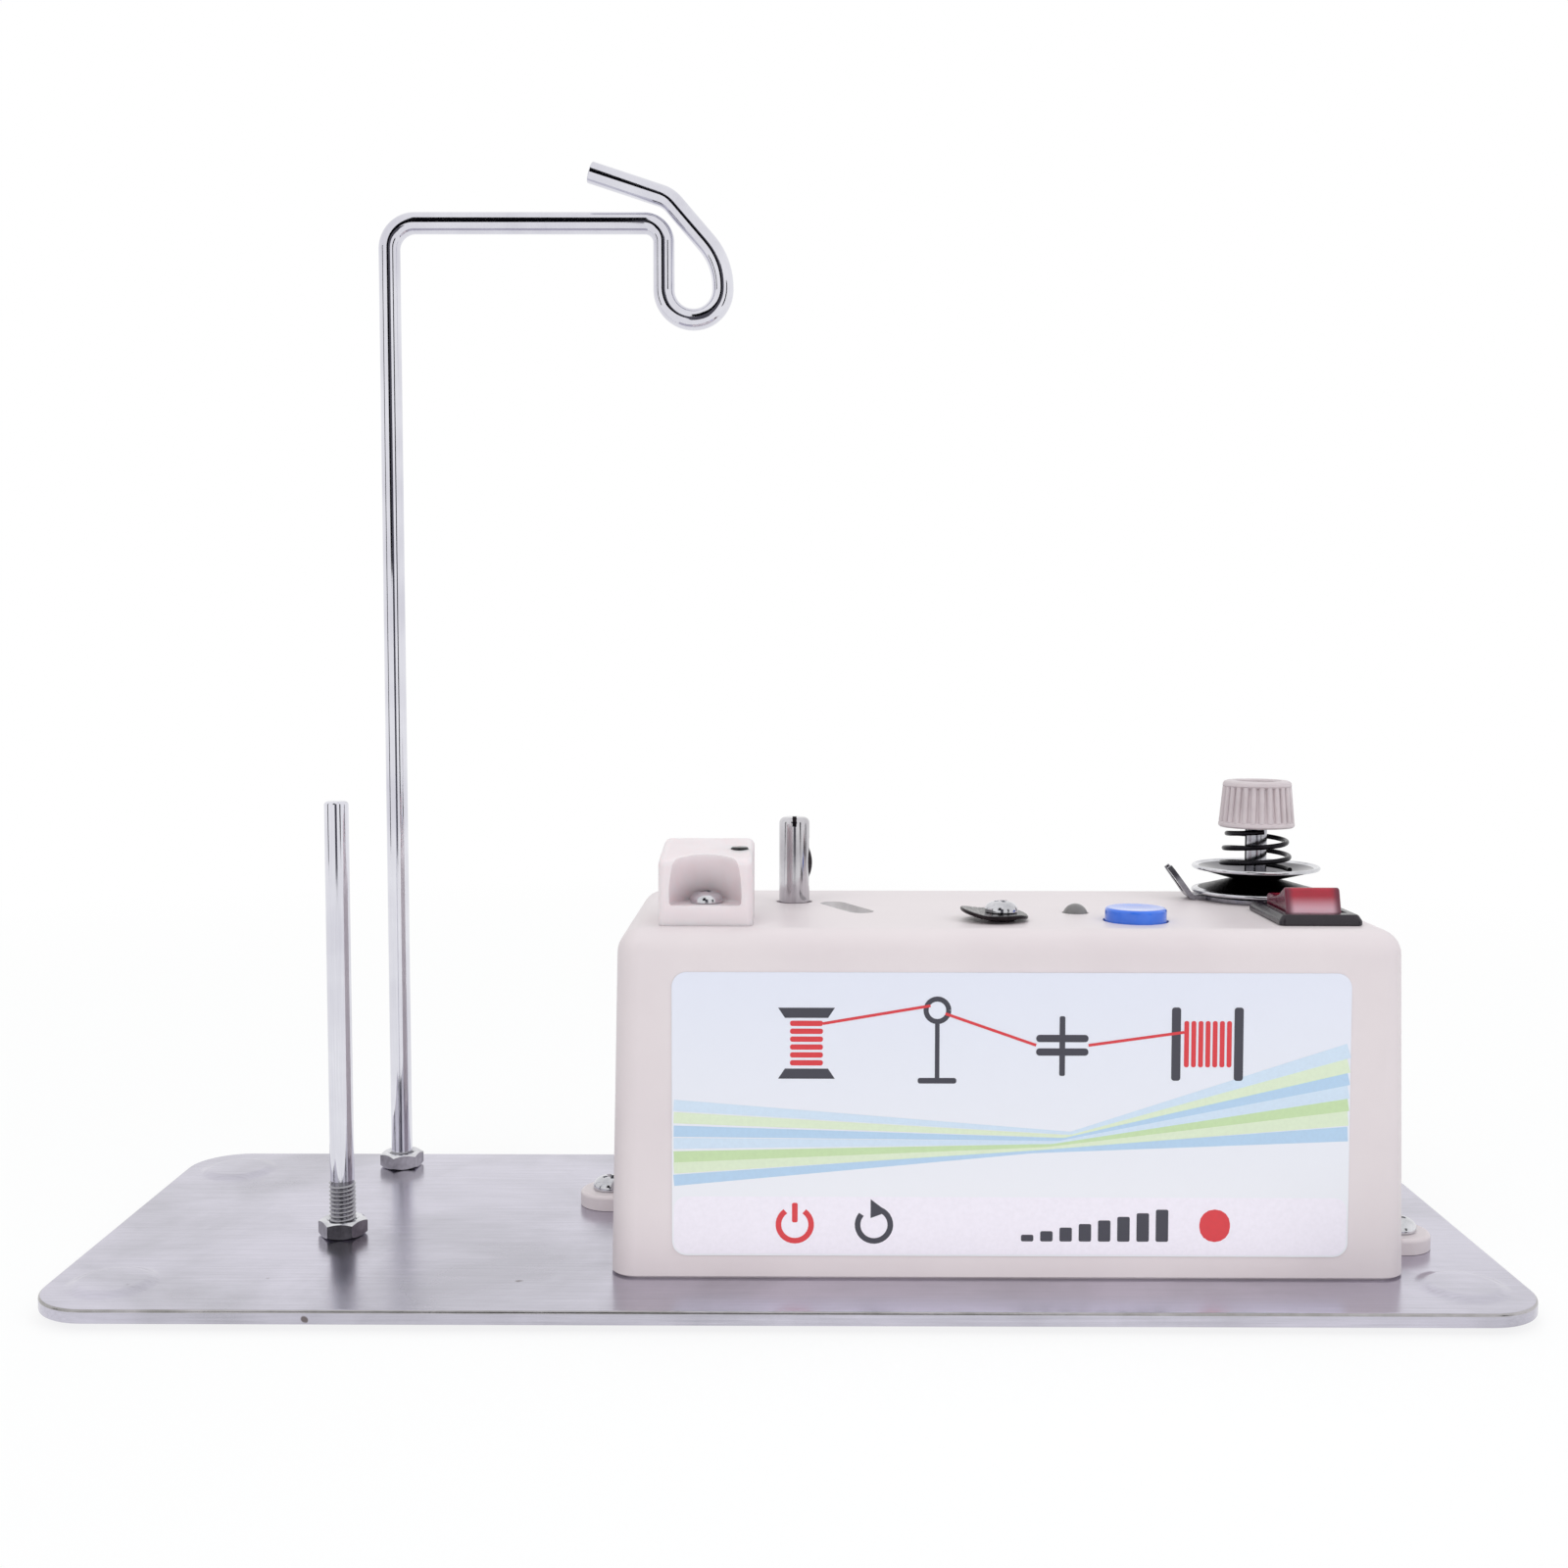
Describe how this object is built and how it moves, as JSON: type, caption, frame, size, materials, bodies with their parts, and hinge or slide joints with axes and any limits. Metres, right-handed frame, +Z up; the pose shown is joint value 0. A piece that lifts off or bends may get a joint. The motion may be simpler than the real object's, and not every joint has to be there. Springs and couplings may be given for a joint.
{
  "type": "bobbin winder",
  "caption": "Electric bobbin winder: box housing with spindle, fill stop, button, rocker switch and thread tension unit on a steel plate with spool pin and thread stand.",
  "frame": {"origin": "middle of the base plate, on the surface that the feet stand on", "axes": "+X to the right along the plate, +Y to the back, +Z up"},
  "size_m": [0.26, 0.092, 0.2176],
  "materials": {
    "polished_steel": "polished sheet steel",
    "rubber_black": "matt moulded rubber",
    "housing_abs": "fine satin moulding",
    "label_film": "printed self-adhesive film",
    "bright_screw": "bright zinc plate",
    "chrome_rod": "bright drawn and plated",
    "plated_nut": "zinc plate",
    "dark_lens": "dark epoxy",
    "spindle_steel": "ground steel",
    "spring_black": "blackened steel",
    "bronze": "sintered bronze",
    "motor_steel": "zinc plate",
    "nylon_white": "moulded",
    "terminal_brass": "stamped",
    "led_lens": "clear smoky lens",
    "button_blue": "moulded",
    "switch_black": "moulded",
    "board_green": "solder mask",
    "rocker_red": "moulded",
    "disc_steel": "polished steel",
    "thumb_nut_grey": "moulded"
  },
  "bodies": {
    "base": {"base_plate": "polished_steel", "rubber_feet": "rubber_black", "housing": "housing_abs", "front_label": "label_film", "housing_screws": "bright_screw", "spool_pin": "chrome_rod", "thread_stand": "chrome_rod", "rod_lock_nuts": "plated_nut", "fill_stop_screw": "bright_screw", "spindle_bush": "bronze", "motor_can": "motor_steel", "motor_cap": "nylon_white", "motor_terminals": "terminal_brass", "motor_plate": "motor_steel", "motor_screws": "bright_screw", "motor_plate_screws": "bright_screw", "cutter_disc": "spring_black", "cutter_screw": "bright_screw", "indicator_led": "led_lens", "button_switch": "switch_black", "control_board": "board_green", "board_screws": "bright_screw", "rocker_frame": "switch_black", "rocker_terminals": "terminal_brass", "tension_bracket": "disc_steel", "lower_tension_disc": "disc_steel", "tension_post": "disc_steel", "tension_post_nut": "plated_nut", "power_socket": "switch_black", "socket_nut": "plated_nut"},
    "spindle": {"bobbin_spindle": "spindle_steel", "spindle_spring": "spring_black", "motor_shaft": "spindle_steel"},
    "fill_stop": {"fill_stop_block": "housing_abs", "fill_sensor": "dark_lens"},
    "button": {"start_button": "button_blue"},
    "rocker": {"rocker_key": "rocker_red"},
    "upper_disc": {"upper_tension_disc": "disc_steel", "tension_spring": "spring_black"},
    "washer": {"tension_washer": "disc_steel"},
    "thumb_nut": {"tension_nut": "thumb_nut_grey"}
  },
  "joints": [
    {"name": "spindle_spin", "type": "hinge", "parent": "base", "child": "spindle", "pos_m": [0.0013, 0.009, 0.0657], "axis": [0, 0, 1], "continuous": true},
    {"name": "fill_stop_swing", "type": "hinge", "parent": "base", "child": "fill_stop", "pos_m": [-0.0147, -0.0192, 0.0657], "axis": [0, 0, 1], "range_deg": [-8, 8]},
    {"name": "button_press", "type": "slide", "parent": "base", "child": "button", "axis": [0, 0, -1], "range_m": [0, 0.001], "stiffness_N_per_m": 300, "springref_m": -0.001},
    {"name": "rocker_tilt", "type": "hinge", "parent": "base", "child": "rocker", "pos_m": [0.0959, -0.0122, 0.0645], "axis": [1, 0, 0], "range_deg": [0, 26]},
    {"name": "disc_lift", "type": "slide", "parent": "base", "child": "upper_disc", "axis": [0, 0, 1], "range_m": [0, 0.0004], "stiffness_N_per_m": 500, "springref_m": -0.002, "deforming": ["tension_spring"]},
    {"name": "washer_travel", "type": "slide", "parent": "base", "child": "washer", "axis": [0, 0, -1], "range_m": [0, 0.00225], "deforming": ["tension_spring"]},
    {"name": "nut_turn", "type": "hinge", "parent": "washer", "child": "thumb_nut", "pos_m": [0.094, 0.014, 0.0845], "axis": [0, 0, -1], "range_deg": [0, 1080]}
  ],
  "couplings": [
    {"joint": "nut_turn", "follows": "washer_travel", "rad_per_m": 8377.6}
  ]
}
